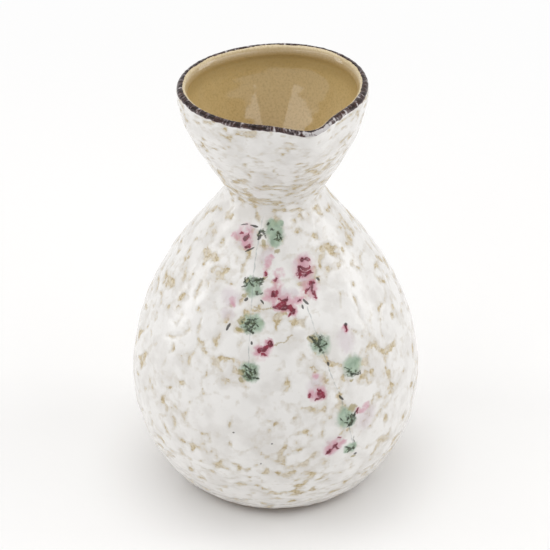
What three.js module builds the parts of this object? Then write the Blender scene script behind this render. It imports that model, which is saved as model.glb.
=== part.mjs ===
// Sake pitcher thrown in stoneware: a full belly, a tight waist and a flared mouth with one pinched pouring lip.
// A thick white glaze coats the outside, a thin tan one lines the inside, and an iron-brown band closes the rim.
// Units are millimetres. The table is z = 0, +Z is up, and the pouring lip points along -Y.
import * as THREE from "three";

// Driving dimensions of the outside, measured over the glaze
const overallHeight = 129.8;
const bellyDiameter = 86;
const bellyHeight = 34.2; // where the belly is widest
const waistDiameter = 28.4;
const waistHeight = 97; // where the mouth is luted onto the body
const mouthDiameter = 53.6;
const skirtDiameter = 58; // lower edge of the outer glaze

// How far the outline keeps its direction before it bends away, which sets how full each curve is
const skirtSlope = 27; // degrees above the table
const skirtLead = 3.7;
const bellyLeadDown = 18.7;
const bellyLeadUp = 33.8;
const waistLeadDown = 5.7;
const waistLeadUp = 3.3;
const rimLeadDown = 13.3;

// Clay walls and glaze coats
const bellyWall = 3;
const lipWall = 1.3; // clay just below the rim
const floorThickness = 3.2;
const floorFillet = 3; // how softly the wall runs into the floor
const outerCoat = 0.8;
const lining = 0.5;
const coatGap = 0.3; // clearance between a coat and the clay, or between two coats
const lipBevel = 3.4; // height of the rounded inner edge of the rim
const bandReach = 100; // degrees round the lip, from its outer side, that the iron band covers

// Turned foot
const footDiameter = 52.4;
const footWidth = 4.2;
const footHeight = 3;
const footBevel = 0.5;

// What the potter's hand left: angles in degrees from the pouring lip, positive towards +X
const spoutReach = 4.75; // how far the lip is drawn out
const spoutSpread = 14.5; // half width of the pinch
const mouthOval = 0.63; // the rim is longer one way than the other
const mouthOvalTurn = -82;
const mouthCorner = 0.4; // and a little three-cornered
const mouthCornerTurn = -117;
const lean = 0.54; // the rim's centre lies this far off the foot's centre
const leanTurn = -120;

// How finely the curves are cut
const turnSegments = 48;
const skirtSteps = 5;
const shoulderSteps = 9;
const mouthSteps = 6;
const lipAngles = [30, 60, 90];
const boreAngles = [180, 150];

const { degToRad, radToDeg, lerp, clamp } = THREE.MathUtils;
const slope = degToRad(skirtSlope);
const clayDepth = outerCoat + coatGap;
const skirtHeight = footHeight - clayDepth * Math.cos(slope);
const floorTop = footHeight + floorThickness;
const bellyRadius = bellyDiameter / 2;
const waistRadius = waistDiameter / 2;
const mouthRadius = mouthDiameter / 2;
const skirtRadius = skirtDiameter / 2;

// The lip is a round as wide as its clay and both coats, and the clay inside it has a round of its own.
const lipHalf = (clayDepth + lipWall + coatGap + lining) / 2;
const lipCentre = mouthRadius - lipHalf;
const lipSpring = overallHeight - lipHalf;
const bevelFoot = overallHeight - lipBevel;
const clayHalf = lipWall / 2;
const clayCentre = mouthRadius - clayDepth - clayHalf;
const clayTop = lipSpring + clayHalf;
const bandStart = radToDeg(Math.asin(coatGap / lipHalf));
const liningStart = bandReach + radToDeg(coatGap / lipHalf);

const skirtCurve = new THREE.CubicBezierCurve(
  new THREE.Vector2(skirtRadius, skirtHeight),
  new THREE.Vector2(skirtRadius + skirtLead * Math.cos(slope), skirtHeight + skirtLead * Math.sin(slope)),
  new THREE.Vector2(bellyRadius, bellyHeight - bellyLeadDown),
  new THREE.Vector2(bellyRadius, bellyHeight),
);
const shoulderCurve = new THREE.CubicBezierCurve(
  new THREE.Vector2(bellyRadius, bellyHeight),
  new THREE.Vector2(bellyRadius, bellyHeight + bellyLeadUp),
  new THREE.Vector2(waistRadius, waistHeight - waistLeadDown),
  new THREE.Vector2(waistRadius, waistHeight),
);
const mouthCurve = new THREE.CubicBezierCurve(
  new THREE.Vector2(waistRadius, waistHeight),
  new THREE.Vector2(waistRadius, waistHeight + waistLeadUp),
  new THREE.Vector2(mouthRadius, lipSpring - rimLeadDown),
  new THREE.Vector2(mouthRadius, lipSpring),
);

// The way a cubic curve runs at share t, from its own control points, so that its ends are exact.
function direction(curve, t) {
  const first = curve.v1.clone().sub(curve.v0).multiplyScalar((1 - t) ** 2);
  const second = curve.v2.clone().sub(curve.v1).multiplyScalar(2 * t * (1 - t));
  const third = curve.v3.clone().sub(curve.v2).multiplyScalar(t * t);
  return first.add(second).add(third).normalize();
}

// Places along one stretch of the outside: the point, the way into the wall, and the clay's thickness there.
function places(curve, steps, firstWall, lastWall) {
  return Array.from({ length: steps + 1 }, (_, i) => {
    const share = i / steps;
    const along = direction(curve, share);
    const inward = new THREE.Vector2(-along.y, along.x);
    return { point: curve.getPoint(share), inward, wall: lerp(firstWall, lastWall, share) };
  });
}

const skirtPlaces = places(skirtCurve, skirtSteps, bellyWall, bellyWall);
const shoulderPlaces = places(shoulderCurve, shoulderSteps, bellyWall, bellyWall);
const mouthPlaces = places(mouthCurve, mouthSteps, bellyWall, lipWall);
const bodyPlaces = [...skirtPlaces, ...shoulderPlaces.slice(1)];
const throatPlaces = mouthPlaces.filter((place) => place.point.y < bevelFoot);

const beneath = (place, depth) => place.point.clone().addScaledVector(place.inward, depth);
const onAxis = (height) => new THREE.Vector2(0, height);

// A point of the inside, kept above a floor at the given height, with a fillet where the wall runs into it.
function settled(point, floor) {
  const nearness = Math.max(floorFillet - Math.abs(point.y - floor), 0);
  return new THREE.Vector2(point.x, Math.max(point.y, floor) + nearness ** 2 / (4 * floorFillet));
}

// A point of a lip's round, by its angle from the outer side over the top to the bore side.
function lipPoint(centre, half, top, angle) {
  const turn = degToRad(angle);
  const base = angle <= 90 ? lipSpring : bevelFoot;
  return new THREE.Vector2(centre + half * Math.cos(turn), base + (top - base) * Math.sin(turn));
}

const lipSkin = (angle) => lipPoint(lipCentre, lipHalf, overallHeight, angle);
const lipClay = (angle) => lipPoint(clayCentre, clayHalf, clayTop, angle);
const lipUnderCoat = (angle) => lipPoint(clayCentre, clayHalf + coatGap, clayTop + coatGap, angle);

// Moves a point of the turned shape to where the hand left it: the mouth's outline grows from the waist up.
function handled(turn, radius, height) {
  const rise = clamp((height - waistHeight) / (overallHeight - waistHeight), 0, 1);
  const eased = rise * rise * (3 - 2 * rise);
  const pinch = rise * rise * Math.exp(-((turn / degToRad(spoutSpread)) ** 2));
  const oval = mouthOval * Math.cos(2 * (turn - degToRad(mouthOvalTurn)));
  const corner = mouthCorner * Math.cos(3 * (turn - degToRad(mouthCornerTurn)));
  const reach = radius + eased * (oval + corner) + spoutReach * pinch;
  const tilt = lean * clamp((height - bellyHeight) / (overallHeight - bellyHeight), 0, 1);
  return new THREE.Vector3(
    reach * Math.sin(turn) + tilt * Math.sin(degToRad(leanTurn)),
    -reach * Math.cos(turn) - tilt * Math.cos(degToRad(leanTurn)),
    height,
  );
}

// Turns an outline into a named mesh. The outline runs up the outside and down the inside.
function thrown(name, outline, finish) {
  const geometry = new THREE.LatheGeometry(outline, turnSegments);
  const spots = geometry.getAttribute("position");
  for (let i = 0; i < spots.count; i += 1) {
    const across = spots.getX(i);
    const toLip = spots.getZ(i);
    const radius = Math.hypot(across, toLip);
    const spot = handled(Math.atan2(across, toLip), radius, spots.getY(i));
    spots.setXYZ(i, radius > 0 ? spot.x : 0, radius > 0 ? spot.y : 0, spot.z);
  }
  geometry.computeVertexNormals();
  const mesh = new THREE.Mesh(geometry, new THREE.MeshStandardMaterial(finish));
  mesh.name = name;
  return mesh;
}

const ring = (outline) => [...outline, outline[0]];

// The thrown body: a bottle with a floor, open at the waist.
function bellyOutline() {
  const outside = bodyPlaces.map((place) => beneath(place, clayDepth));
  const inside = bodyPlaces.map((place) => settled(beneath(place, clayDepth + place.wall), floorTop));
  return [onAxis(footHeight), ...outside, ...inside.reverse(), onAxis(floorTop)];
}

// The flared mouth, which stands on the body at the waist and ends in the clay of the lip.
function mouthOutline() {
  const outside = mouthPlaces.map((place) => beneath(place, clayDepth));
  const lip = [...lipAngles, ...boreAngles.toReversed()].map(lipClay);
  const inside = throatPlaces.map((place) => beneath(place, clayDepth + place.wall));
  return ring([...outside, ...lip, ...inside.reverse()]);
}

// The foot ring under the floor, bevelled where it meets the table.
function footOutline() {
  const outer = footDiameter / 2;
  const inner = outer - footWidth;
  return ring([
    new THREE.Vector2(inner + footBevel, 0),
    new THREE.Vector2(outer - footBevel, 0),
    new THREE.Vector2(outer, footBevel),
    new THREE.Vector2(outer, footHeight),
    new THREE.Vector2(inner, footHeight),
    new THREE.Vector2(inner, footBevel),
  ]);
}

// The white coat, from its edge above the foot up to the rim.
function outerGlazeOutline() {
  const covered = [...bodyPlaces, ...mouthPlaces.slice(1)];
  const face = covered.map((place) => beneath(place, 0));
  const back = covered.map((place) => beneath(place, outerCoat));
  return ring([...face, ...back.reverse()]);
}

// The tan lining: a thin cup that follows the bore from the floor up to the iron band.
function innerGlazeOutline() {
  const covered = [...bodyPlaces, ...throatPlaces.slice(1)];
  const backFloor = floorTop + coatGap;
  const faceFloor = backFloor + lining;
  const backDepth = (place) => clayDepth + place.wall + coatGap;
  const back = covered.map((place) => settled(beneath(place, backDepth(place)), backFloor));
  const face = covered.map((place) => settled(beneath(place, backDepth(place) + lining), faceFloor));
  const edge = [...boreAngles, liningStart];
  return [
    onAxis(backFloor),
    ...back,
    ...edge.map(lipUnderCoat),
    ...edge.map(lipSkin).reverse(),
    ...face.reverse(),
    onAxis(faceFloor),
  ];
}

// The iron band that closes the rim between the two other glazes.
function rimGlazeOutline() {
  const angles = [bandStart, ...lipAngles, bandReach];
  return ring([...angles.map(lipSkin), ...angles.map(lipUnderCoat).reverse()]);
}

const bareClay = { color: "#a88a68", roughness: 0.85, metalness: 0 };
const whiteGlaze = { color: "#e4e0d8", roughness: 0.22, metalness: 0 };
const tanGlaze = { color: "#b39c6a", roughness: 0.15, metalness: 0 };
const ironGlaze = { color: "#3a2a22", roughness: 0.2, metalness: 0 };

const pitcher = new THREE.Group();
pitcher.add(
  thrown("belly_clay", bellyOutline(), bareClay),
  thrown("mouth_clay", mouthOutline(), bareClay),
  thrown("foot_ring", footOutline(), bareClay),
  thrown("outer_glaze", outerGlazeOutline(), whiteGlaze),
  thrown("inner_glaze", innerGlazeOutline(), tanGlaze),
  thrown("rim_glaze", rimGlazeOutline(), ironGlaze),
);

export default pitcher;
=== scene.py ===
# %% [markdown]
# # A sake pitcher in crawled white glaze
#
# The real object is one fired pot: a thrown stoneware bottle with a full belly, a tight waist and a flared
# mouth whose rim is pinched into a pouring lip. Three glazes cover it. The outside is thick, white and
# glossy, and it has crawled into soft lumps that let the tan clay show between them. The inside is lined with
# a thin smooth tan glaze, and an iron-brown band closes the rim. A loose spray of leaves and blossom is
# dabbed on the front.
#
# This lesson dresses a CAD model of that pot. The clay pieces stay as they are, and each coat of glaze
# becomes a fine surface worked out with numpy, because its lumps and wrinkles are what the eye reads as
# ceramic.

import math
from functools import partial

import bmesh
import bpy
import numpy as np
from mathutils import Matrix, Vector


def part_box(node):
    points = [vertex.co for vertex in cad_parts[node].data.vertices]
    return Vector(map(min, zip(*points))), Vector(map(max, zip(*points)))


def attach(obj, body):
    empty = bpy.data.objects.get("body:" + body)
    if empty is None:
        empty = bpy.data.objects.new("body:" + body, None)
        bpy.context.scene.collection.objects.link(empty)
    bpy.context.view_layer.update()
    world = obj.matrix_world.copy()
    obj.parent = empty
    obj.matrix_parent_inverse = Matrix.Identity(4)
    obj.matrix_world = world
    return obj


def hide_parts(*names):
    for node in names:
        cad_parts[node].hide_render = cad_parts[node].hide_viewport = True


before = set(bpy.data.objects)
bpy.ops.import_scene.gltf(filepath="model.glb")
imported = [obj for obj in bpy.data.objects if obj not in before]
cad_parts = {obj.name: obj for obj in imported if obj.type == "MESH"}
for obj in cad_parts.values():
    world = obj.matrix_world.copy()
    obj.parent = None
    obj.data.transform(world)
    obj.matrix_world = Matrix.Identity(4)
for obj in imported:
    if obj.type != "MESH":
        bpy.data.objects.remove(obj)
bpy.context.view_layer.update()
print("CAD pieces:", sorted(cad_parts))

# %% [markdown]
# ## Sizes
#
# A dresser of a model never resizes it. The overall sizes are read from the CAD pieces, in millimetres, and
# only what a box can't tell is written here: the leads of the outline's curves and the small marks of the
# potter's hand.

# %% Sizes read from the model
MM = 0.001


def extent(node):
    """The lowest and highest corner of a CAD node, in millimetres."""
    low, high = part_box(node)
    return np.array(low) / MM, np.array(high) / MM


coat_low, coat_high = extent("outer_glaze")
overall_height = extent("rim_glaze")[1][2]
waist_height = extent("belly_clay")[1][2]
foot_high = extent("foot_ring")[1]
belly_radius = (coat_high[0] - coat_low[0]) / 2
skirt_height = coat_low[2]
foot_height = foot_high[2]
foot_radius = foot_high[0]
print(f"belly {2 * belly_radius:.1f} mm across, {overall_height:.1f} mm high, foot {2 * foot_radius:.1f} mm")

# %% Sizes that a box can't tell, in millimetres and degrees
belly_height = 34.2
skirt_radius = 29.0
waist_radius = 14.2
mouth_radius = 26.8
skirt_slope = 27.0
skirt_lead, belly_lead_down, belly_lead_up = 3.7, 18.7, 33.8
waist_lead_down, waist_lead_up, rim_lead_down = 5.7, 3.3, 13.3
belly_wall, lip_wall, floor_wall = 3.0, 1.3, 3.2
outer_coat, lining, band_coat, coat_gap = 0.8, 0.5, 0.45, 0.3
lip_bevel, lip_blend = 3.4, 0.5
floor_height = foot_height + floor_wall + coat_gap + lining
floor_fillet = 3.0
clay_depth = outer_coat + coat_gap
lip_half = (clay_depth + lip_wall + coat_gap + lining) / 2
lip_spring = overall_height - lip_half
print(f"waist {2 * waist_radius} mm across, mouth {2 * mouth_radius} mm, lip {2 * lip_half} mm thick")

# %% [markdown]
# ## The outline
#
# A potter's outline is a few long easy curves. Cubic curves with a lead at each end say exactly that: where
# the wall stands, which way it sets off and how long it keeps on. The outside has three of them, the lip is a
# quarter round and a quarter oval, and the inside follows the outside at the depth of the wall. All of it is
# one path from the edge of the glaze at the foot, over the rim and down to the middle of the floor, so every
# coat is a stretch of that path.

# %% The outline as one path
def cubic(start, start_lead, end_lead, end, steps=160):
    """Points and unit directions of a cubic curve: the four points weighted by (1-t)^3, 3t(1-t)^2, 3t^2(1-t),
    t^3."""
    t = np.linspace(0, 1, steps)[:, None]
    a, b, c, d = (np.array(p, float) for p in (start, start_lead, end_lead, end))
    point = (1 - t) ** 3 * a + 3 * t * (1 - t) ** 2 * b + 3 * t**2 * (1 - t) * c + t**3 * d
    along = (1 - t) ** 2 * (b - a) + 2 * t * (1 - t) * (c - b) + t**2 * (d - c)
    return point, along / np.linalg.norm(along, axis=1)[:, None]


slope = math.radians(skirt_slope)
skirt_aim = (skirt_radius + skirt_lead * math.cos(slope), skirt_height + skirt_lead * math.sin(slope))
belly_aims = (belly_radius, belly_height - belly_lead_down), (belly_radius, belly_height + belly_lead_up)
waist_aims = (waist_radius, waist_height - waist_lead_down), (waist_radius, waist_height + waist_lead_up)
belly, waist = (belly_radius, belly_height), (waist_radius, waist_height)
skirt = cubic((skirt_radius, skirt_height), skirt_aim, belly_aims[0], belly)
shoulder = cubic(belly, belly_aims[1], waist_aims[0], waist)
mouth = cubic(waist, waist_aims[1], (mouth_radius, lip_spring - rim_lead_down), (mouth_radius, lip_spring))


def beneath(stretch, depth):
    """The stretch's points moved into the wall, along the normal, by a depth in millimetres."""
    point, along = stretch
    inward = np.stack([-along[:, 1], along[:, 0]], axis=1)
    return point + inward * np.reshape(depth, (-1, 1))


def lip_round(first, last, height):
    """An arc of the lip between two angles from its outer side, half its width wide and height mm high."""
    turn = np.radians(np.linspace(first, last, 40))
    across = mouth_radius - lip_half + lip_half * np.cos(turn)
    return np.stack([across, overall_height - height + height * np.sin(turn)], axis=1)


bore_depth = clay_depth + coat_gap + lining
mouth_wall = np.linspace(belly_wall, lip_wall, len(mouth[0]))
bore_mouth = beneath(mouth, bore_depth + mouth_wall)[::-1]
bore_mouth = bore_mouth[bore_mouth[:, 1] < overall_height - lip_bevel - lip_blend]
bore_body = np.vstack([beneath(part, bore_depth + belly_wall)[::-1] for part in (shoulder, skirt)])
nearness = np.clip(floor_fillet - np.abs(bore_body[:, 1] - floor_height), 0, None)
bore_body[:, 1] = np.maximum(bore_body[:, 1], floor_height) + nearness**2 / (4 * floor_fillet)
floor_line = np.stack([np.linspace(bore_body[-1, 0], 0, 60), np.full(60, bore_body[-1, 1])], axis=1)
lip_arcs = lip_round(0, 90, lip_half), lip_round(90, 180, lip_bevel)
path = np.vstack([skirt[0], shoulder[0], mouth[0], *lip_arcs, bore_mouth, bore_body, floor_line])
keep = np.r_[True, np.linalg.norm(np.diff(path, axis=0), axis=1) > 1e-6]
path = path[keep]
run = np.r_[0, np.cumsum(np.linalg.norm(np.diff(path, axis=0), axis=1))]
spring_run = run[np.argmin(np.hypot(path[:, 0] - mouth_radius, path[:, 1] - lip_spring))]
print(f"outline {run[-1]:.0f} mm long, {spring_run:.0f} mm of it outside, from the foot to the rim")

# %% [markdown]
# ## The potter's hand
#
# No thrown mouth is a true circle. The rim is drawn out at the lip, a little longer one way than the other
# and faintly three-cornered, and its centre leans off the foot's. A lattice or proportional editing could do
# this by eye, but one function that moves any point of the turned shape keeps glaze and clay together.

# %% Move turned points to where the hand left them
spout_reach, spout_spread = 4.75, 14.5
mouth_oval, mouth_oval_turn = 0.63, -82.0
mouth_corner, mouth_corner_turn = 0.4, -117.0
lean, lean_turn = 0.54, math.radians(-120.0)


def wrapped(turn):
    """An angle in radians, brought between minus and plus half a turn."""
    return (turn + math.pi) % (2 * math.pi) - math.pi


def handled(turn, radius, height):
    """Points in millimetres of a turned radius and height at an angle from the lip. The outline's growth
    rises from the waist as 3t^2 - 2t^3, and the pinch as t^2 times a bell curve of the angle."""
    rise = np.clip((height - waist_height) / (overall_height - waist_height), 0, 1)
    eased = rise * rise * (3 - 2 * rise)
    pinch = rise * rise * np.exp(-((wrapped(turn) / math.radians(spout_spread)) ** 2))
    oval = mouth_oval * np.cos(2 * (turn - math.radians(mouth_oval_turn)))
    corner = mouth_corner * np.cos(3 * (turn - math.radians(mouth_corner_turn)))
    reach = radius + eased * (oval + corner) + spout_reach * pinch
    tilt = lean * np.clip((height - belly_height) / (overall_height - belly_height), 0, 1)
    across = reach * np.sin(turn) + tilt * math.sin(lean_turn)
    away = -reach * np.cos(turn) - tilt * math.cos(lean_turn)
    return np.stack([across, away, np.broadcast_to(height, reach.shape)], axis=-1)


lip_point = handled(np.float64(0), np.float64(mouth_radius), np.float64(overall_height))
print(f"the lip reaches {-lip_point[1]:.1f} mm from the foot's centre")


# %% [markdown]
# ## Noise that both the mesh and the finish can read
#
# Crawled glaze is a random pattern with a size: lumps of 4 to 9 mm and gaps of 1 to 3 mm. Gradient noise
# gives that. It is computed here at each vertex, pushes the surface in and out, and is kept on the mesh as an
# attribute, so the tan colour always falls in the real valleys.

# %% Gradient noise over points
def noise(points, size, seed):
    """Smooth noise of about -1 to 1: each lattice corner has a random direction, its dot product with the way
    to the point is a ramp, and the eight ramps around a point are mixed by 6t^5 - 15t^4 + 10t^3."""
    rng = np.random.default_rng(seed)
    order = rng.permutation(256)
    ways = rng.normal(size=(256, 3))
    ways /= np.linalg.norm(ways, axis=1)[:, None]
    scaled = points / size
    cell = np.floor(scaled).astype(int)
    local = scaled - cell
    fade = local**3 * (local * (local * 6 - 15) + 10)
    total = np.zeros(points.shape[:-1])
    for corner in np.ndindex(2, 2, 2):
        spot = (cell + corner) & 255
        pick = order[(order[(order[spot[..., 0]] + spot[..., 1]) & 255] + spot[..., 2]) & 255]
        ramp = ((local - corner) * ways[pick]).sum(-1)
        total += ramp * np.where(corner, fade, 1 - fade).prod(-1)
    return 1.6 * total


def smooth(low, high, value):
    """0 below low, 1 above high and 3t^2 - 2t^3 between."""
    t = np.clip((value - low) / (high - low), 0, 1)
    return t * t * (3 - 2 * t)


sample = noise(np.random.default_rng(1).uniform(0, 50, (2000, 3)), 4.0, seed=1)
print(f"noise at 2000 points: {sample.min():.2f} to {sample.max():.2f}, mean {sample.mean():.2f}")


# %% [markdown]
# ## A coat of glaze
#
# A coat is a stretch of the outline carried round the pot, with a face that has relief and a plain back
# against the clay. Spin and Displace could make one, but a grid of rows and columns worked out in one go
# keeps the vertices where the pattern needs them and lets the relief be any formula.

# %% Carry a stretch of the outline round the pot
def path_at(at):
    """Points of the path at the given runs along it, by straight interpolation."""
    return np.stack([np.interp(at, run, path[:, k]) for k in range(2)], axis=-1)


def outline_at(at, step=0.25):
    """Points of the path and its inward normals, from the points a step in mm ahead and behind."""
    along = path_at(at + step) - path_at(at - step)
    along /= np.linalg.norm(along, axis=-1)[..., None]
    return path_at(at), np.stack([-along[..., 1], along[..., 0]], axis=-1)


def shell_points(at, turn, depth):
    """Points in millimetres at each run and angle, moved into the wall by a depth, then handled."""
    point, inward = outline_at(at)
    moved = point + inward * depth[..., None]
    return handled(turn, np.maximum(moved[..., 0], 0), moved[..., 1])


def rows_by_bend(first, last, count):
    """Shares of a stretch from 0 to 1, closer together where it bends: equal steps of length / whole length
    plus turned angle / whole angle."""
    at = np.linspace(first, last, 800)
    inward = outline_at(at)[1]
    heading = np.unwrap(np.arctan2(inward[:, 1], inward[:, 0]))
    turned = np.r_[0, np.cumsum(np.abs(np.diff(heading)))]
    progress = np.linspace(0, 1, len(at)) + turned / turned[-1]
    return np.interp(np.linspace(0, 2, count), progress, np.linspace(0, 1, len(at)))


def make_coat(name, first, last, thickness, relief, columns, rows, back_rows, to_axis=False):
    """A closed shell over a stretch of the outline. Its rows go up the face, raised by relief(at, turn,
    points), and come back down the back at the coat's thickness. Where the stretch ends on the axis, the
    poles are merged."""
    turns = np.linspace(-math.pi, math.pi, columns, endpoint=False)
    begin = first(turns) if callable(first) else np.full(columns, first)
    end = last(turns) if callable(last) else np.full(columns, last)
    face_share = np.linspace(0, 1, rows)
    back_share = rows_by_bend(begin.mean(), end.mean(), back_rows)[::-1]
    share, turn = np.meshgrid(np.r_[face_share, back_share], turns, indexing="ij")
    at = begin + (end - begin) * share
    rest = shell_points(at, turn, np.zeros_like(at))
    raised, fields = relief(at, turn, rest)
    on_face = np.arange(len(at)) < rows
    depth = np.where(on_face[:, None], -raised, thickness)
    points = shell_points(at, turn, depth) * MM
    row_count = rows + back_rows
    row, column = np.meshgrid(np.arange(row_count), np.arange(columns), indexing="ij")
    if to_axis:
        row, column = (grid[np.r_[0 : rows - 1, rows : row_count]] for grid in (row, column))
    next_row, next_column = (row + 1) % row_count, (column + 1) % columns
    corners = (row, column), (row, next_column), (next_row, next_column), (next_row, column)
    quads = np.stack([up * columns + over for up, over in corners], axis=-1).reshape(-1, 4)
    mesh = bpy.data.meshes.new(name)
    mesh.from_pydata(points.reshape(-1, 3), [], quads)
    for key, values in fields.items():
        kind, item = ("FLOAT_VECTOR", "vector") if values.ndim == 3 else ("FLOAT", "value")
        attribute = mesh.attributes.new(key, kind, "POINT")
        attribute.data.foreach_set(item, values.astype(np.float32).ravel())
    if to_axis:
        work = bmesh.new()
        work.from_mesh(mesh)
        bmesh.ops.remove_doubles(work, verts=work.verts, dist=1e-7)
        work.to_mesh(mesh)
        work.free()
    mesh.polygons.foreach_set("use_smooth", np.ones(len(mesh.polygons), bool))
    mesh.update()
    piece = bpy.data.objects.new(name, mesh)
    bpy.context.scene.collection.objects.link(piece)
    triangles = sum(len(face.vertices) - 2 for face in mesh.polygons)
    print(f"{name}: {len(mesh.vertices)} vertices, {triangles} triangles")
    return piece


# %% [markdown]
# ## Helpers for finishes
#
# A finish is a small network of nodes. One function adds a node with its settings and links, whatever its
# kind, and another turns the colours that a maker writes, sRGB hex, into the linear numbers that the shader
# adds up. Patterns are given by their size in millimetres, and the node wants how many of them fit into a
# metre.

# %% Colours and nodes
def linear(hex_colour):
    """The linear colour of an sRGB hex value: c/12.92 when dark, else ((c+0.055)/1.055)^2.4."""
    parts = [int(hex_colour[i : i + 2], 16) / 255 for i in (1, 3, 5)]
    return tuple(c / 12.92 if c <= 0.04045 else ((c + 0.055) / 1.055) ** 2.4 for c in parts) + (1.0,)


def per_mm(size):
    """The scale of a pattern whose lumps are about size mm across."""
    return 1 / (size * MM)


# what a kind of node is mostly set to here, the sockets its plain inputs fill, and the output it hands on
usual = {
    "Mix": ({"data_type": "RGBA"}, (0, 6, 7), 2),
    "MapRange": ({"interpolation_type": "SMOOTHSTEP"}, range(5), 0),
    "TexNoise": ({}, (0, 2, 3), 0),
}


def add_node(tree, kind, *inputs, out=None, **named):
    """Adds one node and returns one of its outputs. A kind may end in the node's operation. Inputs are
    numbers, colours or outputs of other nodes: plain ones fill the sockets in turn, and named ones go to the
    socket of that name, with underscores for spaces. A name in small letters is a setting of the node."""
    kind, _, operation = kind.partition(" ")
    settings, sockets, usual_out = usual.get(kind, ({}, range(3), 0))
    settings = settings | {key: value for key, value in named.items() if key[0].islower()}
    if operation:
        settings["operation"] = operation
    node = tree.nodes.new("ShaderNode" + kind)
    for key, value in settings.items():
        setattr(node, key, value)
    by_name = {key.replace("_", " "): value for key, value in named.items() if key[0].isupper()}
    for socket, value in (dict(zip(sockets, inputs)) | by_name).items():
        if isinstance(value, bpy.types.NodeSocket):
            tree.links.new(value, node.inputs[socket])
        else:
            node.inputs[socket].default_value = value
    if node.outputs:
        return node.outputs[usual_out if out is None else out]


def new_material(name):
    """A named material with an empty network, and the function that adds nodes to it."""
    material = bpy.data.materials.new(name)
    material.use_nodes = True
    material.node_tree.nodes.clear()
    return material, partial(add_node, material.node_tree)


print("middle grey #808080 in linear light:", round(linear("#808080")[0], 3))

# %% [markdown]
# ## The white coat
#
# A thick white glaze with much clay in it shrinks before it melts, tears and draws up into beads: that is
# crawling. Between the beads the tan body shows in short ragged blots, and every bead is softly domed. Blots
# of two sizes make them, they crowd along the lines where a third noise is zero, and a wider noise decides
# where they are many. On the mouth the turning stretches the pattern sideways, so the height is stretched for
# the noise there. Sizes and heights below are in millimetres, and shares are parts of a sum.

# %% Shape the white coat
lump_size, bead_size, line_size, blot_size, speck_size = 9.0, 4.0, 7.0, 3.1, 1.7
cloud_size, patch_size = 13.0, 3.0
lump_rise, bead_rise, line_sink, gap_sink = 0.3, 0.16, 0.1, 0.16
blot_share, speck_share, line_share, cloud_share, least_share = 0.44, 0.3, 0.42, 0.28, 0.4
mouth_stretch, mouth_from, foot_stretch, foot_from = 1.6, waist_height - 2, 0.8, 24.0
coat_end = spring_run + 1.2  # the band hides the coat's edge


def grain(points):
    """Pattern coordinates in mm: from the waist up the height counts 2.6 times, and below the belly 1.8
    times, which flattens the marks."""
    height = points[..., 2]
    above, below = np.clip(height - mouth_from, 0, None), np.clip(foot_from - height, 0, None)
    height = height + mouth_stretch * above - foot_stretch * below
    return np.stack([points[..., 0], points[..., 1], height], axis=-1)


def crawl(at, turn, points):
    """Relief of the white coat in mm: wide lumps and domed beads, less the gaps, calmer on the mouth and
    fading out at both edges. A gap opens where blots, specks, the lines where another noise is zero, and a
    wide cloud add up to more than a least share. Near a line the share is exp(-(line / width)^2). A collar of
    the same bell shape opens more gaps just over the waist, and a narrow one opens some right under the iron
    band."""
    where = grain(points)
    lump = noise(where, lump_size, seed=11)
    bead = noise(where, bead_size, seed=23)
    line = noise(where, line_size, seed=5) + 0.3 * noise(where, line_size / 2.3, seed=6)
    near_line = np.exp(-((line / 0.2) ** 2))
    blots = blot_share * noise(where, blot_size, seed=7) + speck_share * noise(where, speck_size, seed=9)
    gap = blots + line_share * near_line + cloud_share * noise(where, cloud_size, seed=8) - least_share
    rise = points[..., 2] - waist_height
    collar = 0.16 * np.exp(-(((rise - 5) / 9) ** 2)) - 0.03 * smooth(17, 26, rise)
    under_band = np.exp(-(((spring_run - 0.1 - at) / 0.5) ** 2))
    gap = gap + 0.3 * under_band * smooth(-0.3, 0.3, noise(where, patch_size, seed=10)) + collar
    edge = smooth(0, 2.0, at) * smooth(0, 2.5, spring_run + 0.3 - at)
    calm = 1 - 0.35 * smooth(-4, 8, rise)
    sunk = line_sink * near_line + gap_sink * smooth(-0.1, 0.25, gap)
    raised = edge * calm * (lump_rise * lump + bead_rise * bead - sunk)
    return raised, {"grain": where * MM, "skin": points * MM, "gap": gap}


white_coat = make_coat("white_coat", 0.0, coat_end, outer_coat, crawl, columns=400, rows=206, back_rows=36)

# %% [markdown]
# ## The lining
#
# The inside was glazed by pouring the pot full and emptying it, which leaves a thin, even, glassy skin. Below
# the rounded lip a shallow step runs round where the potter's finger stopped. The surface itself is smooth,
# so the mesh needs few columns, and the finish carries only a fine crackle and painted light and shade that
# change with the depth below the lip.

# %% Shape the lining
lip_top = spring_run + lip_half * math.pi / 2
step_run = lip_top + 3.5
lip_roll, hollow_depth, wave_size, wave_rise = 0.2, 0.4, 7.0, 0.05


def poured(at, turn, points):
    """Relief of the lining in mm: a roll at the lip, a hollow 0.4 mm deep under it, and faint waves."""
    below = at - step_run
    hollow = hollow_depth * smooth(-0.6, 0.9, below) * (1 - smooth(2, 12, below))
    roll = lip_roll * np.exp(-(((below + 1.0) / 1.1) ** 2)) - hollow
    roll = roll * smooth(0, 1.5, at - lip_top)
    waves = wave_rise * noise(grain(points), wave_size, seed=31)
    return roll + waves, {"below": below}


tan_lining = make_coat(
    "tan_lining", lip_top - 0.6, run[-1], lining, poured, columns=256, rows=210, back_rows=60, to_axis=True
)

# %% [markdown]
# ## The iron band
#
# Iron glaze over white turns brown-black, and its glossy wrinkles glint, which its finish paints on as pale
# highlights. It was brushed round the lip last, so its lower edge wanders and it lies a little proud, with
# small wrinkles across it. A colour mask on the white coat could stand for it, but a coat of its own has a
# real edge that catches the light.

# %% Shape the iron band
wrinkle_size, fine_wrinkle_size, streak_length = 1.5, 0.8, 3.5
glint_turn, glint_spread = 6.5, 15.0  # degrees from the lip, where the band has its painted highlight


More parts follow.
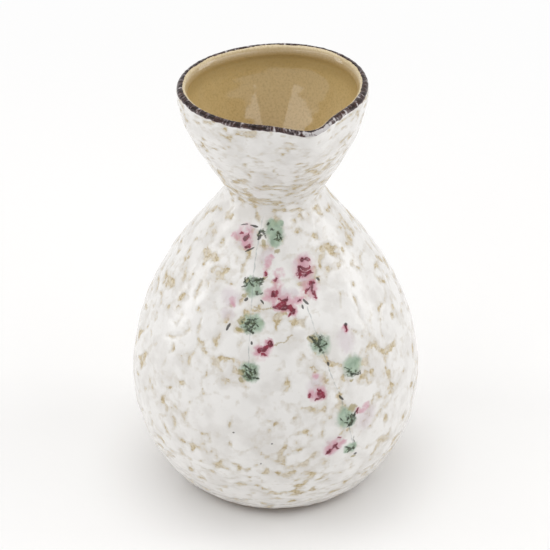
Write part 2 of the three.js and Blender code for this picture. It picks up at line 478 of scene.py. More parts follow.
def round_rim(turns, size, seed):
    """Noise along the rim, of about -1 to 1, whose waves are about size mm long."""
    rim = np.stack([np.sin(turns), np.cos(turns), 0 * turns], axis=-1) * mouth_radius
    return noise(rim, size, seed)


def band_low(turns):
    """Where the band starts outside, in mm along the outline: 0.6 over the spring, give or take as much."""
    return spring_run + 0.6 + 0.42 * round_rim(turns, 6.0, seed=41) + 0.25 * round_rim(turns, 1.7, seed=42)


def band_high(turns):
    """Where it ends inside, in mm along the outline: 0.35 past the top, give or take about as much."""
    return lip_top + 0.35 + 0.2 * round_rim(turns, 5.0, seed=45) + 0.12 * round_rim(turns, 1.7, seed=46)


def brushed(at, turn, points):
    """Relief of the iron band in mm: proud in the middle, sunk in at both edges, with wrinkles 1 to 2 mm
    apart. The share runs from 0 at its outer edge to 1 inside, at_lip is a bell curve of the angle, and the
    streak coordinates stretch a pattern along the outline."""
    low, high = band_low(turn[0]), band_high(turn[0])
    share = (at - low) / (high - low)
    across = np.sin(math.pi * np.clip(share, 0, 1)) ** 0.5
    wrinkle = noise(points, wrinkle_size, seed=43) + 0.6 * noise(points, fine_wrinkle_size, seed=44)
    at_lip = np.exp(-(((np.degrees(turn) - glint_turn) / glint_spread) ** 2))
    round_way = mouth_radius * np.sin(turn), mouth_radius * np.cos(turn)
    streak = np.stack([*round_way, at / streak_length], axis=-1) * MM
    return 0.2 * across - 0.08 + 0.08 * across * wrinkle, {"share": share, "at_lip": at_lip, "streak": streak}


iron_band = make_coat("iron_band", band_low, band_high, band_coat, brushed, columns=900, rows=20, back_rows=5)

# %% [markdown]
# ## The spray
#
# The painting is the common blossom-and-leaf spray of everyday wares: green dabs with dark veins for leaves,
# pink washes with crimson strokes for blossoms, two thin stems, two ochre twigs and dark ticks. A brush mark
# is long, narrow and slanted, so each one is an ellipse: the points whose ways to two focal points add up to
# less than its length. It lies on the surface at an angle from the pouring lip, positive to the right, and a
# height, moved by a few millimetres across and along the surface.

# %% Where a mark lies on the surface
outside = run <= spring_run
stem_half, twig_half = 0.22, 0.25  # half widths in mm


def mark(turn, height, across, along, long, wide, slant=0.0):
    """A brush mark's two focal points in metres, and the slope and start that bring the ways to them to 0
    between them and 1 at its edge. Its half length and half width are in mm, and its slant is in degrees
    above the way round the pot. The focal points lie sqrt(long^2 - wide^2) from its middle."""
    at = np.interp(height, path[outside, 1], run[outside]) + along
    radius = outline_at(at)[0][0]
    angle = math.radians(turn) + across / radius
    if wide > long:
        long, wide, slant = wide, long, slant + 90
    reach = math.sqrt(long**2 - wide**2)
    side_way, up_way = reach * math.cos(math.radians(slant)), reach * math.sin(math.radians(slant))
    focal = []
    for way in (-1, 1):
        point = outline_at(at + way * up_way)[0]
        place = handled(np.float64(angle + way * side_way / radius), point[0], point[1])
        focal.append(tuple(place * MM))
    slack = long - reach
    return focal, 0.5 / (slack * MM), -reach / slack


# %% The strokes of the spray
places = {
    # angle and height on the pot
    "great_blossom": (-12, 79.5),
    "side_blossom": (-48.5, 88.5),
    "small_blossom": (-26, 63.5),
    "faint_blossom": (-45, 74.5),
    "right_blossom": (-3, 51),
    "bud": (14.5, 64.5),
    "low_blossom": (2, 32.5),
    "pale_blossom": (17.5, 39.5),
    "top_leaf": (-22, 91.5),
    "upper_leaf": (-33.5, 79),
    "middle_leaf": (-33, 69.5),
    "lower_leaf": (-32, 57),
    "right_leaf": (0, 64),
    "far_leaf": (14, 55),
    "low_leaf": (9, 41),
    "last_leaf": (11, 29.5),
}
strokes = {
    # moves across and along, half length, half width and slant, for each kind of stroke and place
    "wash": {
        "great_blossom": [
            (5, 3.9, 3.1, 2.6, 80), (5.9, -2.2, 2.6, 2.2, 50), (7.3, -2.4, 2.6, 1, 85),
            (-1.8, -5.2, 3.5, 2.2, -5), (-5.5, -3.1, 2.1, 1.4, 40), (2.1, -4.9, 2, 1.2, 10),
            (-3.2, -0.4, 1.9, 1.3, 75), (-2.5, 3, 1.6, 1.1, 30), (-5.9, 4.4, 2.3, 0.9, 85),
            (-4.9, 6.6, 2.3, 0.9, 65), (0.2, -7.5, 2.2, 1.3, -60), (4.9, 3, 2.2, 1.3, 0),
            (7.2, -3.4, 1.9, 0.8, 85),
        ],
        "side_blossom": [(0.2, 2.3, 2.2, 1.9, 80), (0.9, 0.2, 1.9, 1.3, 50), (-2.7, 0.5, 1.5, 0.9, 0)],
        "small_blossom": [(-0.1, -0.2, 2.6, 1.9, 30), (1.6, 1.6, 1.6, 1.1, -70)],
        "faint_blossom": [(0.3, -0.1, 1.5, 0.9, -60)],
        "right_blossom": [(-0.3, -0.6, 2.7, 1.8, 5), (-0.3, 5, 1.1, 0.9, 0)],
        "bud": [(0.2, 1.4, 1.2, 0.9, 85)],
        "low_blossom": [(-0.1, -0.3, 2.7, 1.9, 50), (2.9, 0.4, 1.6, 1, 20)],
        "pale_blossom": [(-0.4, 2.7, 2.3, 1, 20)],
    },
    "lilac": {
        "great_blossom": [
            (5.6, 0.6, 2.4, 1.8, 0), (-5.4, 8, 2.6, 1.8, 60), (-0.8, -3, 3.4, 1.6, 0),
            (4.6, 5.8, 2.6, 1.6, 20),
        ],
        "side_blossom": [(0.3, 1.6, 3.4, 2.7, 80)],
        "faint_blossom": [(-0.6, 0.6, 3, 2.4, -50), (-0.4, -3.9, 2.2, 1.7, 0)],
        "bud": [(-0.7, -1.6, 3.6, 2.5, 85)],
        "right_blossom": [(-0.3, 1.8, 3.6, 2.4, 80)],
        "pale_blossom": [(-0.2, -0.4, 3.6, 3, 60)],
        "low_blossom": [(0.2, 0.1, 3.3, 2.6, 50)],
    },
    "crimson": {
        "great_blossom": [
            (4.6, 6.1, 0.8, 0.4, 38), (6.2, 6, 1.3, 0.35, -21), (4.6, 3.9, 1.9, 0.55, -12),
            (4.7, 2.8, 2.3, 0.4, -8), (3.2, 2.6, 1.6, 0.5, 85), (5.1, 1.9, 2.5, 0.35, 5),
            (6.6, -0.7, 1, 0.6, 0), (7.1, -2.6, 2, 0.55, -83), (5.5, -2.5, 1.4, 0.35, 50),
            (7.3, -4.8, 0.6, 0.4, 0), (-4.3, -2.7, 1.1, 0.85, 60), (-3, -4.4, 0.9, 0.35, -35),
            (-1.4, -4.6, 1.3, 0.4, 30), (-2.3, -6.5, 2.7, 0.8, -2), (-2, -5.7, 1.1, 0.7, 55),
            (0.2, -7.1, 1.6, 0.8, -70), (-0.3, -8.7, 1.1, 0.4, 45), (2.6, -5, 0.9, 0.4, 15),
            (-6, 3.2, 0.8, 0.4, -80), (-3.5, 1.3, 0.5, 0.4, 0),
        ],
        "side_blossom": [
            (0.7, 0.9, 1.2, 0.75, 40), (-0.6, 2.1, 0.45, 0.3, 0), (1.1, 1.8, 0.7, 0.4, 80),
            (1.8, -1.2, 0.8, 0.6, 20),
        ],
        "small_blossom": [
            (-1, -0.3, 0.9, 0.7, 0), (0.7, 0.4, 1.2, 0.55, 40), (1.8, 1.9, 1.1, 0.65, -70),
            (0.5, -1.2, 0.7, 0.5, 0),
        ],
        "right_blossom": [
            (1, -1, 1.4, 0.8, -40), (-0.4, -2, 1.2, 0.35, 15), (0.6, 0.4, 0.7, 0.35, -60),
            (-2.6, -0.5, 0.7, 0.4, 70),
        ],
        "bud": [(0.3, 1.5, 0.8, 0.4, 85)],
        "low_blossom": [
            (-0.9, -1.6, 1.4, 0.5, 41), (0.7, 0.1, 1.3, 0.45, 53), (1.3, -0.6, 0.9, 0.35, -30),
            (2.1, 2.5, 0.4, 0.3, 0),
        ],
        "low_leaf": [(3.2, 1.2, 0.7, 0.4, 80)],
    },
    "leaf": {
        "top_leaf": [(0.9, -1.1, 3.3, 2.1, 80), (-0.3, 1, 2.6, 1.9, 95), (1.4, 1.9, 1.8, 1.1, 20)],
        "upper_leaf": [(0.1, -1.1, 2.3, 2.1, 0), (-0.3, 0.7, 2.5, 1.5, 10)],
        "middle_leaf": [(0.5, 0.3, 3.4, 2.6, 5)],
        "lower_leaf": [(0.4, 0.9, 2.5, 2.2, 20), (0.5, -0.6, 2.2, 1.8, -30)],
        "right_leaf": [(0.4, -0.3, 2.7, 2.5, -40)],
        "far_leaf": [(0, 0.8, 3, 2.7, 30)],
        "low_leaf": [(-0.9, 0.4, 3, 2.6, 85), (0.9, -1.2, 2.2, 1.5, 70)],
        "last_leaf": [(-0.7, 0.5, 2.3, 1.8, 20)],
    },
    "shade": {
        "top_leaf": [(1.5, -1.4, 1.8, 1.1, -80), (-3.2, -0.7, 1.6, 0.9, 40)],
        "upper_leaf": [(-0.4, 1, 2.8, 1.5, 0), (1.5, -2, 1.2, 0.8, 0)],
        "middle_leaf": [(-0.2, 0, 2.8, 2.3, 0)],
        "lower_leaf": [(0.2, 0.1, 2.4, 2.3, 0)],
        "right_leaf": [(0, 0.6, 2.5, 2.1, -40), (0.5, -1.4, 1.8, 1.2, -60)],
        "far_leaf": [(-0.2, -1.3, 2.6, 1.2, -10)],
        "low_leaf": [(0.9, -0.9, 2.2, 1.7, 70)],
        "last_leaf": [(-0.6, 0.2, 1.9, 1.2, 10)],
    },
    "vein": {
        "top_leaf": [
            (2, -0.7, 0.9, 0.22, -25), (2.2, -1.9, 1.1, 0.3, -80), (-0.3, 0.5, 0.6, 0.3, -60),
            (0.9, -1.9, 0.8, 0.2, 60), (-1.8, 1.9, 0.5, 0.4, 0), (-3.1, -0.5, 1.1, 0.3, 10),
            (-2.3, -1, 0.7, 0.25, -50),
        ],
        "upper_leaf": [
            (-2.2, -0.3, 1.2, 0.3, 45), (-2.7, 1.2, 0.9, 0.32, -60), (-0.2, 1.4, 1.4, 0.28, 10),
            (1.7, 1.6, 1.1, 0.32, 25), (1.9, 0.5, 0.6, 0.25, 80), (1.6, -2.2, 1, 0.5, 5),
            (-0.8, 0.3, 0.8, 0.3, -40),
        ],
        "middle_leaf": [
            (0.6, 1.6, 1.8, 0.28, 8), (-0.8, -0.9, 1.3, 0.38, -50), (0.5, -1.8, 1.1, 0.42, -35),
            (1.9, 0.2, 0.8, 0.28, -30), (-0.5, 0.4, 0.9, 0.28, 60), (1, -2.3, 0.5, 0.4, 0),
            (1, -0.6, 0.9, 0.25, 30),
        ],
        "lower_leaf": [
            (-0.3, 1.7, 1.4, 0.28, -15), (0.4, 0.9, 1.4, 0.3, 15), (-0.4, -0.4, 1, 0.32, -45),
            (0.7, -1.1, 1.1, 0.32, -45), (1.9, -1, 0.9, 0.38, -5), (2, 0.7, 0.7, 0.25, 80),
        ],
        "right_leaf": [
            (-1.6, 1.9, 1.2, 0.38, -40), (1, 1.7, 0.9, 0.32, 30), (0.3, 0.8, 1.3, 0.5, 65),
            (1.3, -0.4, 1.2, 0.42, 20), (0, -1.2, 1.4, 0.45, -65), (0.3, -2.1, 0.7, 0.42, 0),
            (-0.9, 0.5, 0.9, 0.35, -30),
        ],
        "far_leaf": [
            (-2.1, 0.4, 1.2, 0.25, -44), (-1.3, -1, 0.9, 0.38, -45), (0.4, -2, 1.7, 0.5, -12),
            (2.5, -1.9, 0.9, 0.25, 80), (1.3, -1.8, 0.8, 0.3, 20),
        ],
        "low_leaf": [
            (1.9, -0.8, 2.1, 0.48, 67), (0.5, -2.7, 1.2, 0.42, 10), (0, -0.5, 0.8, 0.3, 50),
            (1.3, 0.4, 0.8, 0.3, 60), (-2.3, 0, 0.9, 0.2, -60), (-0.8, -1.6, 0.9, 0.22, -30),
        ],
        "last_leaf": [
            (-1.8, 1.2, 0.8, 0.24, -35), (-1.1, -0.7, 1, 0.25, 30), (-0.2, 0.1, 1, 0.25, -20),
            (0.3, 3.4, 1.2, 0.18, 90),
        ],
    },
    "olive": {
        "top_leaf": [(-2.6, -3.2, 1.1, 0.65, 85), (1.2, -5.6, 0.9, 0.7, 0)],
        "upper_leaf": [(-2.6, -3.3, 0.9, 0.7, 0), (2.7, 2.2, 1, 0.4, 30), (-2.2, 1.2, 0.9, 0.7, 0)],
        "middle_leaf": [(-2.6, 0.8, 1.3, 1.1, 80), (-3.2, -1.8, 0.9, 0.5, 0)],
        "lower_leaf": [(-2.1, -0.1, 1.2, 0.9, 80), (-1.9, -2.4, 0.8, 0.6, 0)],
        "right_leaf": [(-1.5, 1.8, 1.7, 1.1, -20)],
        "far_leaf": [(-1.1, -3.4, 0.9, 0.5, 0)],
        "low_leaf": [(1.7, 2.8, 1.4, 1.2, 0)],
        "last_leaf": [(0.8, -3.1, 0.9, 0.5, 0)],
    },
    "tick": {
        "side_blossom": [(-0.8, 4.6, 1.2, 0.18, 15), (2.1, 4.8, 1.3, 0.26, -2), (2.9, -2, 1.6, 0.26, 35)],
        "top_leaf": [(-3.9, -1.9, 0.9, 0.5, 70)],
        "upper_leaf": [(-1.7, -4.3, 0.8, 0.42, 60), (3, -4.5, 0.8, 0.3, -60)],
        "middle_leaf": [(-6.4, -1.6, 1.2, 0.4, 70)],
        "great_blossom": [
            (8.9, -0.1, 0.6, 0.32, -60), (4.6, -5.7, 1.1, 0.42, -55), (3.5, -6.9, 0.7, 0.32, -75),
        ],
        "bud": [(0.7, 2.6, 0.5, 0.45, 0)],
        "far_leaf": [(-7.5, 3.5, 0.7, 0.4, 90)],
        "small_blossom": [(-3.3, 1.7, 0.5, 0.3, -70)],
        "right_blossom": [(7, -3.4, 1.1, 0.42, -55)],
        "last_leaf": [(1.2, -2.4, 0.5, 0.36, 0)],
        "low_blossom": [(-18, 3.5, 0.25, 0.22, 0), (-21, -4, 0.22, 0.2, 0), (-29, 6, 0.3, 0.25, 0)],
    },
}
stems = [
    [(-33, 95), (-35, 87), (-34, 79), (-33, 70), (-32, 58)],
    [(-3, 74), (-1, 68.5), (0.5, 65), (3, 56), (6, 49), (8, 43), (11, 31)],
]
twigs = [
    [(-32.3, 73.9), (-28, 73.5), (-24.7, 73.9), (-20.9, 73.6)],
    [(-21.8, 64.7), (-19, 65), (-15.7, 65.9), (-12, 67.2)],
]


def stem_marks(line, half):
    """Thin marks of 2 to 4 mm along a stem given by its corners, short enough to lie on the round surface."""
    corners = np.array(line, float)
    share = np.linspace(0, len(line) - 1, 3 * len(line) - 2)
    fine_line = np.stack([np.interp(share, np.arange(len(line)), corners[:, k]) for k in range(2)], axis=1)
    made = []
    for begin, end in zip(fine_line[:-1], fine_line[1:]):
        turn, height = (begin + end) / 2
        heights = np.array([begin[1], end[1], height])
        high, low, middle = np.interp(heights, path[outside, 1], run[outside])
        rise, sweep = high - low, math.radians(begin[0] - end[0]) * outline_at(middle)[0][0]
        slant = math.degrees(math.atan2(rise, sweep))
        made.append(mark(turn, height, 0, 0, 0.52 * math.hypot(rise, sweep), half, slant))
    return made


marks = {
    kind: [mark(*places[name], *stroke) for name, group in groups.items() for stroke in group]
    for kind, groups in strokes.items()
}
marks["stem"] = [made for line in stems for made in stem_marks(line, stem_half)]
marks["twig"] = [made for line in twigs for made in stem_marks(line, twig_half)]
print("marks:", {kind: len(made) for kind, made in marks.items()})

# %% [markdown]
# ## Finish of the white coat
#
# Tin-white stoneware glaze: an opaque glass with an index of about 1.5 and a soft gloss. The gaps show tan
# because the glaze is only a film there, and a paler stain lies round each gap. The paint sank into the glaze
# in the fire, so its edges are soft and broken: a mark's place is shaken by noise, along the surface, before
# its distance is taken. An image of the painting would need an unwrapped mesh, and marks worked out by
# distance stay sharp at any size.

# %% Masks of the marks
def nearest_mark(add, where, kind):
    """0 in the middle of any mark of a kind, 1 at its edge and more outside: the ways to a mark's two focal
    points are added and brought to that scale, and the least of all the marks counts."""
    nearest = None
    for (one, other), slope, start in marks[kind]:
        ways = (add("VectorMath DISTANCE", where, focus, out=1) for focus in (one, other))
        share = add("Math MULTIPLY_ADD", add("Math ADD", *ways), slope, start)
        nearest = share if nearest is None else add("Math MINIMUM", nearest, share)
    return nearest


# %% Paints of the spray
paints = {
    "lilac": "#d3c4cb",
    "wash": "#d294a6",
    "halo": "#c47d90",
    "crimson": "#8c1b37",
    "deep crimson": "#5e0e22",
    "leaf": "#829d84",
    "pale leaf": "#a4bca4",
    "olive": "#9f8f52",
    "shade": "#4a5438",
    "twig": "#ab9767",
    "stem": "#7d8a8a",
    "vein": "#343f26",
    "deep vein": "#15190f",
    "tick": "#27221e",
}
paint = {name: linear(colour) for name, colour in paints.items()}
loose_shake, steady_shake = 2.4 * MM, 0.8 * MM
print(len(paint), "paints")


# %% Crawled white glaze
def crawled_white_glaze():
    """Opaque white glaze over tan clay, with the spray painted under it."""
    material, add = new_material("crawled_white_glaze")
    place = add("TexCoord", out=3)
    pattern = add("Attribute", attribute_name="grain", out=1)
    gap = add("Attribute", attribute_name="gap", out=2)

    # the tan body shows where the gaps' ragged edges open, more in some places than in others
    fine = add("TexNoise", pattern, per_mm(1.0), 4.0)
    ragged = add("Math ADD", gap, add("Math MULTIPLY_ADD", fine, 0.7, -0.35))
    thick = add("MapRange", add("TexNoise", pattern, per_mm(2.6), 1.0), 0.38, 0.62)
    thin = add("Math MULTIPLY_ADD", thick, 0.5, 0.45)
    bare = add("Math MULTIPLY", add("MapRange", ragged, 0.01, 0.15), thin)
    stain = add("MapRange", ragged, -0.33, 0.04)

    # white of two tones, greyer round a gap, and gritty clay in it
    tint = add("TexNoise", place, per_mm(7.0), 3.0)
    white = add("Mix", add("MapRange", tint, 0.42, 0.66), linear("#f2f0ed"), linear("#e6e3df"))
    white = add("Mix", add("Math MULTIPLY", stain, 0.6), white, linear("#d9d3c9"))
    grit = add("TexNoise", pattern, per_mm(0.8), 2.0)
    clay = add("Mix", add("MapRange", grit, 0.35, 0.65), linear("#b49f76"), linear("#d6c8a9"))
    glazed = add("Mix", bare, white, clay)

    # the place on the unraised surface, shaken along it: far for loose dabs, little for ticks and stems
    skin = add("Attribute", attribute_name="skin", out=1)
    normal = add("TexCoord", out=1)
    shake = add("TexNoise", place, per_mm(1.7), 4.0, out=1)
    shake = add("VectorMath SUBTRACT", shake, (0.5,) * 3)
    outward = add("VectorMath PROJECT", shake, normal)
    level = add("VectorMath SUBTRACT", shake, outward)
    drawn = add("VectorMath MULTIPLY_ADD", level, (loose_shake,) * 3, skin)
    steady = add("VectorMath MULTIPLY_ADD", level, (steady_shake,) * 3, skin)
    cloud = add("TexNoise", place, per_mm(2.0), 3.0)
    mottle = add("TexNoise", place, per_mm(0.8), 2.0)

    def dab(colour, over, cover, share):
        """The colour with a paint over it, at a cover of at most 1 times a share."""
        return add("Mix", add("Math MULTIPLY", cover, share), colour, over)

    def cover(kind, outer, inner, where=drawn):
        """How much the marks of a kind cover: 0 at the outer limit of their share and 1 at the inner one."""
        return add("MapRange", nearest_mark(add, where, kind), outer, inner)

    # blossoms: a lilac haze, a pink wash, a halo and broken crimson strokes
    petal = nearest_mark(add, drawn, "crimson")
    washed = add("Math MULTIPLY", add("MapRange", cloud, 0.2, 0.6), cover("wash", 2.3, 0.0))
    colour = dab(glazed, paint["lilac"], cover("lilac", 2.2, 0.0), 0.5)
    colour = dab(colour, paint["wash"], washed, 0.75)
    colour = dab(colour, paint["halo"], add("MapRange", petal, 4.6, 0.8), 0.6)
    crimson = add("Mix", add("MapRange", cloud, 0.35, 0.65), paint["crimson"], paint["deep crimson"])
    broken = add("Math MULTIPLY_ADD", add("MapRange", mottle, 0.3, 0.5), 0.3, 0.68)
    colour = dab(colour, crimson, add("MapRange", petal, 1.35, 0.75), broken)

    # leaves: green dabs, olive edges and a dark shade, then twigs and stems
    green = add("Mix", add("MapRange", cloud, 0.35, 0.65), paint["leaf"], paint["pale leaf"])
    colour = dab(colour, green, cover("leaf", 1.8, 0.4), 0.88)
    colour = dab(colour, paint["olive"], cover("olive", 1.5, 0.5), 0.7)
    colour = dab(colour, paint["shade"], cover("shade", 1.5, 0.3), add("MapRange", mottle, 0.4, 0.6))
    colour = dab(colour, paint["twig"], cover("twig", 1.8, 0.4), 0.6)
    faint = add("Math MULTIPLY", add("MapRange", cloud, 0.3, 0.6), 0.42)
    colour = dab(colour, paint["stem"], cover("stem", 1.6, 0.4, steady), faint)

    # the darkest marks last: veins and ticks
    dark = add("Mix", cloud, paint["vein"], paint["deep vein"])
    inky = add("Math MULTIPLY_ADD", add("MapRange", mottle, 0.3, 0.5), 0.4, 0.5)
    colour = dab(colour, dark, cover("vein", 1.5, 0.6), inky)
    colour = dab(colour, paint["tick"], cover("tick", 1.4, 0.6, steady), 0.9)

    glossy, matt = 0.21, 0.5  # the glaze, and the clay in its gaps
    roughness = add("MapRange", bare, 0.0, 1.0, glossy, matt, interpolation_type="LINEAR")
    dimple = add("TexNoise", pattern, per_mm(1.3), 3.0)
    height = add("Math SUBTRACT", add("Math MULTIPLY", dimple, 0.9), bare)
    bump = add("Bump", Strength=0.5, Distance=0.14 * MM, Height=height)
    shader = add("BsdfPrincipled", Base_Color=colour, IOR=1.5, Roughness=roughness, Normal=bump)
    add("OutputMaterial", Surface=shader)
    return material


# %% [markdown]
# ## Finish of the lining
#
# A clear glaze stained tan by the clay under it, smooth and wet-looking. The colours could be painted on, but
# the mesh knows how far each point is below the lip, so that attribute places them: a painted highlight of
# cream on the rounded lip, painted shade in the step under it, and painted light that lifts the tan lower
# down. The crackle of under a millimetre is drawn as a mottle of 0.6 mm, because the real lines are too fine
# to show.

# %% Tan liner glaze
def tan_liner_glaze():
    """Glossy tan glaze, with a painted highlight of cream on the rounded lip, painted shade in the step under
    it and painted light that makes it lighter again lower down.
    """
    material, add = new_material("tan_liner_glaze")
    place = add("TexCoord", out=3)
    below = add("Attribute", attribute_name="below", out=2)
    cloud = add("TexNoise", place, per_mm(14.0), 3.0)
    fine = add("TexNoise", place, per_mm(0.6), 3.0)
    tan = add("Mix", cloud, linear("#c2a872"), linear("#ccb481"))
    # painted light: the tan grows lighter from 2 to 22 mm below the lip
    deep = add("Mix", add("MapRange", below, 2.0, 22.0, interpolation_type="LINEAR"), tan, linear("#d1b987"))
    # painted shade: a darker band in the step under the lip
    step = add("Math MULTIPLY", add("MapRange", below, -1.2, 0.4), add("MapRange", below, 5.0, 1.0))
    painted_step_shade = add("Mix", add("Math MULTIPLY", step, 0.48), deep, linear("#9f8755"))
    # painted highlight: cream on the rounded lip, palest at its top
    painted_lip_highlight = add("Mix", add("MapRange", below, 0.3, -1.2), painted_step_shade, linear("#bfa982"))
    painted_lip_highlight = add("Mix", add("MapRange", below, -2.0, -2.8), painted_lip_highlight, linear("#dccaa4"))
    specks = add("Math MULTIPLY", add("MapRange", fine, 0.4, 0.75), 0.5)
    mottled = add("Mix", specks, painted_lip_highlight, linear("#ab935f"))
    bump = add("Bump", Strength=0.08, Distance=0.05 * MM, Height=fine)
    shader = add("BsdfPrincipled", Base_Color=mottled, IOR=1.5, Roughness=0.05, Normal=bump)
    add("OutputMaterial", Surface=shader)
    return material


# %% [markdown]
# ## Finish of the band
#
# Iron saturates to a brown-black with a purple cast. Its glossy wrinkles glint, and the glints are painted on
# as pale grey-white strokes with mauve half-tones, with a large painted highlight outside on the pouring lip,
# and the band turns mauve towards its lower edge. The painted glints are short strokes across the band, along
# the wrinkles that the glaze left as it ran down in the fire, so their noise is stretched along the outline.

# %% Iron rim glaze
def iron_rim_glaze():
    """Brown-black iron glaze with painted highlights: pale glints in short strokes, and a large one outside
    on the pouring lip.
    """
    material, add = new_material("iron_rim_glaze")
    place = add("TexCoord", out=3)
    share = add("Attribute", attribute_name="share", out=2)
    at_lip = add("Attribute", attribute_name="at_lip", out=2)
    cloud = add("TexNoise", place, per_mm(2.2), 3.0)
    dark = add("Mix", add("MapRange", cloud, 0.35, 0.7), linear("#1a0a07"), linear("#41271f"))
    ripple_noise = add("TexNoise", place, per_mm(1.3), 4.0)
    streak = add("Attribute", attribute_name="streak", out=1)
    streaks = add("TexNoise", streak, per_mm(0.8), 3.0)
    # painted highlight: the large pale patch outside on the pouring lip
    spout_highlight = add("Math MULTIPLY", at_lip, add("MapRange", share, 0.75, 0.45))
    glint_field = add("Math MULTIPLY_ADD", ripple_noise, 0.4, add("Math MULTIPLY", streaks, 0.6))
    glint_field = add("Math MULTIPLY_ADD", spout_highlight, 0.22, glint_field)
    wandering = add("Math MULTIPLY_ADD", ripple_noise, -0.25, share)
    fringe = add("Math MULTIPLY", add("MapRange", wandering, 0.1, -0.1), 0.6)
    # mauve half-tones round the painted glints, and mauve towards the band's lower edge
    mauve = add("Math MAXIMUM", add("Math MULTIPLY", add("MapRange", glint_field, 0.49, 0.6), 0.4), fringe)
    broken = add("Mix", mauve, dark, linear("#a9999a"))
    # painted glints: pale grey-white where the glint field is high
    pale = add("Math MULTIPLY", add("MapRange", glint_field, 0.575, 0.65), 0.8)
    broken = add("Mix", pale, broken, linear("#d6d3d3"))
    bump = add("Bump", Strength=0.5, Distance=0.12 * MM, Height=ripple_noise)
    gloss = {"IOR": 1.5, "Roughness": 0.16, "Specular_IOR_Level": 0.18}
    shader = add("BsdfPrincipled", Base_Color=broken, Normal=bump, **gloss)
    add("OutputMaterial", Surface=shader)
    return material


# %% [markdown]
# ## Bare clay
#
# The foot and what the coats hide is the fired stoneware body: matt, tan, a little gritty, with the rings
# that a turning tool leaves about every half millimetre. They are far too fine to cut into the mesh, so a
# wave texture round the axis drives a bump.

# %% Fired stoneware
def fired_stoneware():
    """Matt tan clay with grit and turning rings."""
    material, add = new_material("fired_stoneware")
    place = add("TexCoord", out=3)
    grit = add("TexNoise", place, per_mm(0.6), 3.0)
    body = add("Mix", grit, linear("#93755a"), linear("#bda17c"))
    ring_scale = 600.0  # rings 0.5 mm apart
    rings = add("TexWave", Vector=place, Scale=ring_scale, wave_type="RINGS", rings_direction="Z", out=1)
    bump = add("Bump", Strength=0.5, Distance=0.1 * MM, Height=add("Math ADD", rings, grit))
    shader = add("BsdfPrincipled", Base_Color=body, Roughness=0.85, Normal=bump)
    add("OutputMaterial", Surface=shader)
    return material


# %% Dress the pieces
finishes = {
    "outer_glaze": (white_coat, crawled_white_glaze()),
    "inner_glaze": (tan_lining, tan_liner_glaze()),
    "rim_glaze": (iron_band, iron_rim_glaze()),
}
for node, (piece, material) in finishes.items():
    piece.data.materials.append(material)
    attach(piece, "root")
    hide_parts(node)
clay_finish = fired_stoneware()
for node in ("belly_clay", "mouth_clay", "foot_ring"):
    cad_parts[node].data.materials.clear()
    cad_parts[node].data.materials.append(clay_finish)
for material in (*(made for piece, made in finishes.values()), clay_finish):
    print(f"{material.name}: {len(material.node_tree.nodes)} nodes")

# %% [markdown]
# ## Floor and light
#
# The pot stands on a pale sweep in soft light, most of it from a plain grey-white world. A wide lamp above,
# two soft boxes at the sides and two high ones in front model its roundness, and the high ones are the two
# pale patches that the lining shows in the mouth. The world and the far floor read as plain white to the
# camera and in reflections. The floor near the pot keeps its own soft shadow, and a painted shadow deepens
# it: the floor's glow for the camera starts only a few centimetres from the foot.

# %% Floor
floor_radius = 2.0
# distances from the axis: inside the near ring the floor's glow fades out, a painted shadow round the foot,
# and past the far ring it is plain white
painted_shadow_ring, far_ring = (30 * MM, 62 * MM), (120 * MM, 400 * MM)
near_glow, far_glow = 0.115, 0.87


def seen_rays(add):
    """1 for rays that show a thing, to the camera or in a mirror or glass, and 0 for those that light."""
    rays = add("LightPath").node.outputs
    seen = add("Math MAXIMUM", rays["Is Camera Ray"], rays["Is Transmission Ray"])
    return add("Math MAXIMUM", seen, rays["Is Glossy Ray"])


def pale_floor():
    """A wide disc just under the foot, matt and nearly white. To seen rays alone, it glows a little, from
    nothing 30 mm from the axis to full 62 mm out, so the dimmer floor round the foot is a painted shadow that
    deepens the contact shadow, and it goes over to plain white far from the pot, where the lamps fall off."""
    mesh = bpy.data.meshes.new("floor")
    turns = np.linspace(0, 2 * math.pi, 64, endpoint=False)
    corners = np.stack([np.cos(turns), np.sin(turns), 0 * turns], axis=-1) * floor_radius
    mesh.from_pydata(corners, [], [list(range(len(turns)))])
    floor = bpy.data.objects.new("floor", mesh)
    bpy.context.scene.collection.objects.link(floor)
    material, add = new_material("white_paper_sweep")
    seen = seen_rays(add)
    away = add("VectorMath LENGTH", add("TexCoord", out=3), out=1)
    far = add("MapRange", away, *far_ring)
    paper = add("Mix", add("Math MULTIPLY", seen, far), linear("#f6f5f4"), linear("#000000"))
    # painted shadow: no glow within 30 mm of the axis, full glow from 62 mm out
    glow_past_painted_shadow = add("Math MULTIPLY", add("MapRange", away, *painted_shadow_ring), near_glow)
    glow = add("Math MULTIPLY", seen, add("Math MULTIPLY_ADD", far, far_glow, glow_past_painted_shadow))
    matt = {"Roughness": 1.0, "Specular_IOR_Level": 0.0, "Emission_Color": linear("#ffffff")}
    add("OutputMaterial", Surface=add("BsdfPrincipled", Base_Color=paper, Emission_Strength=glow, **matt))
    mesh.materials.append(material)
    return floor


print(f"{pale_floor().name}: {2 * floor_radius:.0f} m across")


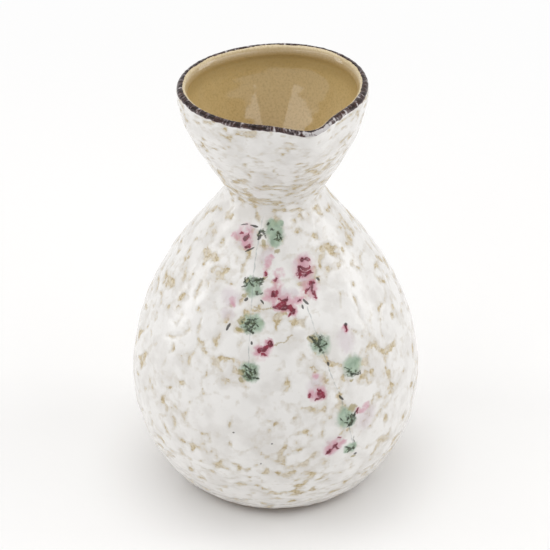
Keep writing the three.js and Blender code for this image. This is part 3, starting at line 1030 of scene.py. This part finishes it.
# %% Lamps and world
def soft_box(name, place, aim_height, size, power):
    """A rectangular lamp at a place in metres, turned to a height on the pot's axis, of power watts."""
    lamp = bpy.data.lights.new(name, "AREA")
    lamp.shape = "RECTANGLE"
    lamp.size, lamp.size_y = size
    lamp.energy = power
    box = bpy.data.objects.new(name, lamp)
    box.location = place
    way = Vector((0, 0, aim_height)) - Vector(place)
    box.rotation_euler = way.to_track_quat("-Z", "Y").to_euler()
    bpy.context.scene.collection.objects.link(box)
    print(f"{name}: {size[0]} x {size[1]} m, {power} W")


soft_box("top_light", (0.0, 0.25, 1.1), 0.06, (1.0, 1.0), 3.4)
soft_box("left_light", (-1.0, 0.45, 0.44), 0.06, (0.3, 0.8), 2.2)
soft_box("right_light", (1.07, -0.24, 0.5), 0.06, (0.45, 0.8), 2.75)
soft_box("high_left_light", (-0.87, -0.287, 0.8), 0.1, (1.2, 0.36), 2.4)
soft_box("high_right_light", (0.65, -0.7, 0.72), 0.1, (1.2, 0.36), 2.25)

sky_light, sky_seen = 0.476, 0.985  # what the world gives as light, and how white it shows
world = bpy.data.worlds.new("studio")
bpy.context.scene.world = world
world.use_nodes = True
world.node_tree.nodes.clear()
add_sky = partial(add_node, world.node_tree)
strength = add_sky("MapRange", seen_rays(add_sky), 0.0, 1.0, sky_light, sky_seen, interpolation_type="LINEAR")
add_sky("OutputWorld", Surface=add_sky("Background", Color=linear("#ffffff"), Strength=strength))
bpy.context.scene.view_settings.view_transform = "Standard"

# %% [markdown]
# ## Camera
#
# The camera looks down at the pot from in front, a little to the left of the pouring lip. It stands seven
# tenths of a metre away with a long lens, because the rim shows there as the open oval that the eye expects,
# with little foreshortening from top to bottom.

# %% Camera
camera_turn, camera_rise = math.radians(-20.5), math.radians(31.89)
camera_distance, look_height, aim_left = 0.700, 0.0663, 0.0002
focal_length, sensor_width = 154.9, 36.0
level = math.cos(camera_rise)
back = np.array([math.sin(camera_turn) * level, -math.cos(camera_turn) * level, math.sin(camera_rise)])
right = np.array([math.cos(camera_turn), math.sin(camera_turn), 0.0])
aim = np.array([0, 0, look_height]) - right * aim_left
camera_data = bpy.data.cameras.new("camera")
camera_data.lens = focal_length
camera_data.sensor_width = sensor_width
camera = bpy.data.objects.new("camera", camera_data)
camera.location = aim + back * camera_distance
camera.rotation_euler = Vector(-back).to_track_quat("-Z", "Y").to_euler()
bpy.context.scene.collection.objects.link(camera)
bpy.context.scene.camera = camera
print(f"camera {1000 * camera_distance:.0f} mm away, {focal_length} mm lens")
